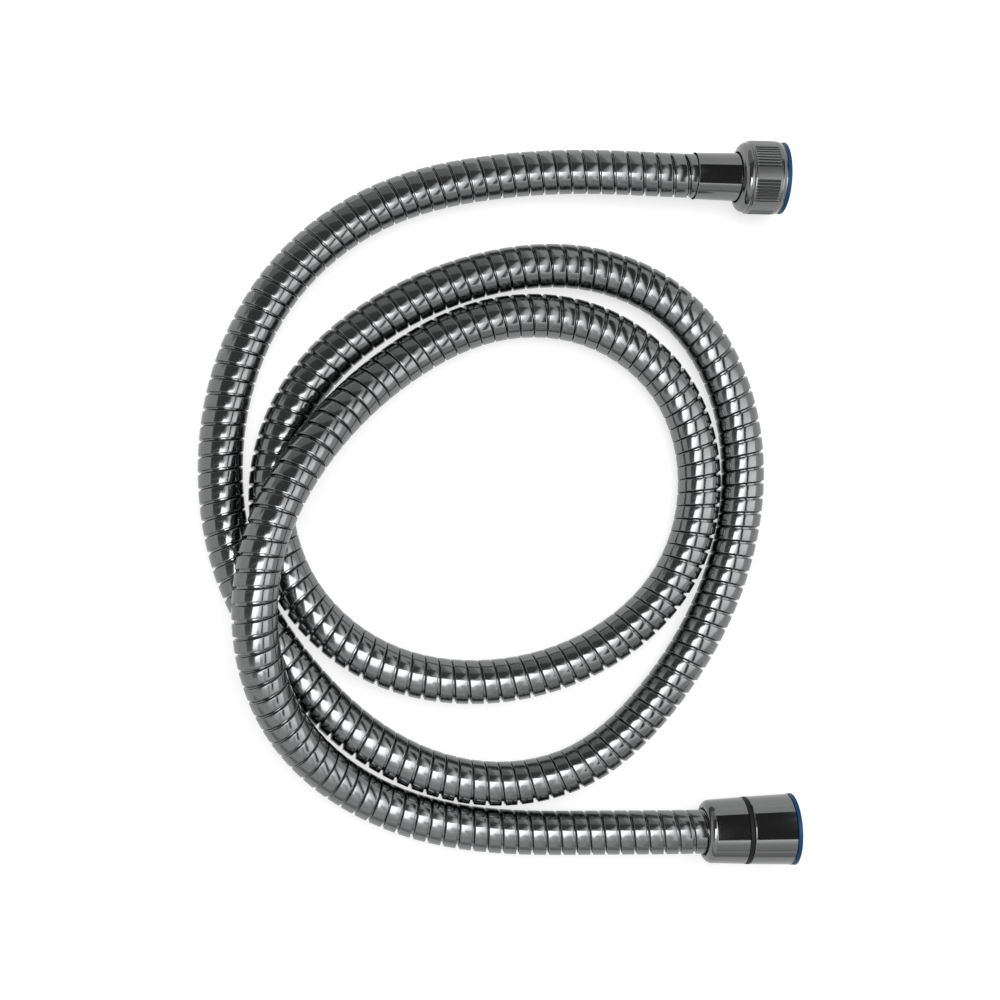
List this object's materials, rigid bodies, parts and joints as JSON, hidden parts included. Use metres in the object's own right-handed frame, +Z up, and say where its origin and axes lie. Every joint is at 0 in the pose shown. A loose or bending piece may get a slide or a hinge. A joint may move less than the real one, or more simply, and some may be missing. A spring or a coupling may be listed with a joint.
{
  "type": "metal shower hose",
  "caption": "Flexible dark chromed metal shower hose lying in two loops, with a fluted swivel nut at one end and a conical swivel nut at the other, both closed by blue plugs.",
  "frame": {"origin": "midway between the two fittings, under them on the surface that the hose lies on", "axes": "+X along both fittings, out of their threaded ends; +Y from the handset's fitting to the mixer's; +Z up"},
  "size_m": [0.2042, 0.2518, 0.0323],
  "materials": {
    "dark_chrome": "polished dark chrome plating",
    "brass": "machined",
    "black_plastic": "satin moulded",
    "blue_plastic": "smooth moulded polyethylene",
    "rubber": "matte moulded",
    "liner_plastic": "extruded, milky"
  },
  "bodies": {
    "root": {"hose_armour": "dark_chrome", "inner_liner": "liner_plastic", "mixer_ferrule": "dark_chrome", "mixer_nipple": "brass", "handset_ferrule": "dark_chrome", "handset_nipple": "brass", "o_ring": "rubber", "rear_shell": "dark_chrome", "slip_ring": "black_plastic"},
    "mixer_nut_turning": {"mixer_nut": "dark_chrome", "mixer_washer": "rubber", "mixer_plug": "blue_plastic"},
    "cone_nut_turning": {"cone_nut": "dark_chrome", "handset_washer": "rubber", "handset_plug": "blue_plastic"}
  },
  "joints": [
    {"name": "mixer_nut_swivel", "type": "hinge", "parent": "root", "child": "mixer_nut_turning", "pos_m": [0.0049, 0.1135, 0.0125], "axis": [1, 0, 0], "continuous": true},
    {"name": "cone_nut_swivel", "type": "hinge", "parent": "root", "child": "cone_nut_turning", "pos_m": [0.0084, -0.1135, 0.0125], "axis": [1, 0, 0], "continuous": true}
  ]
}
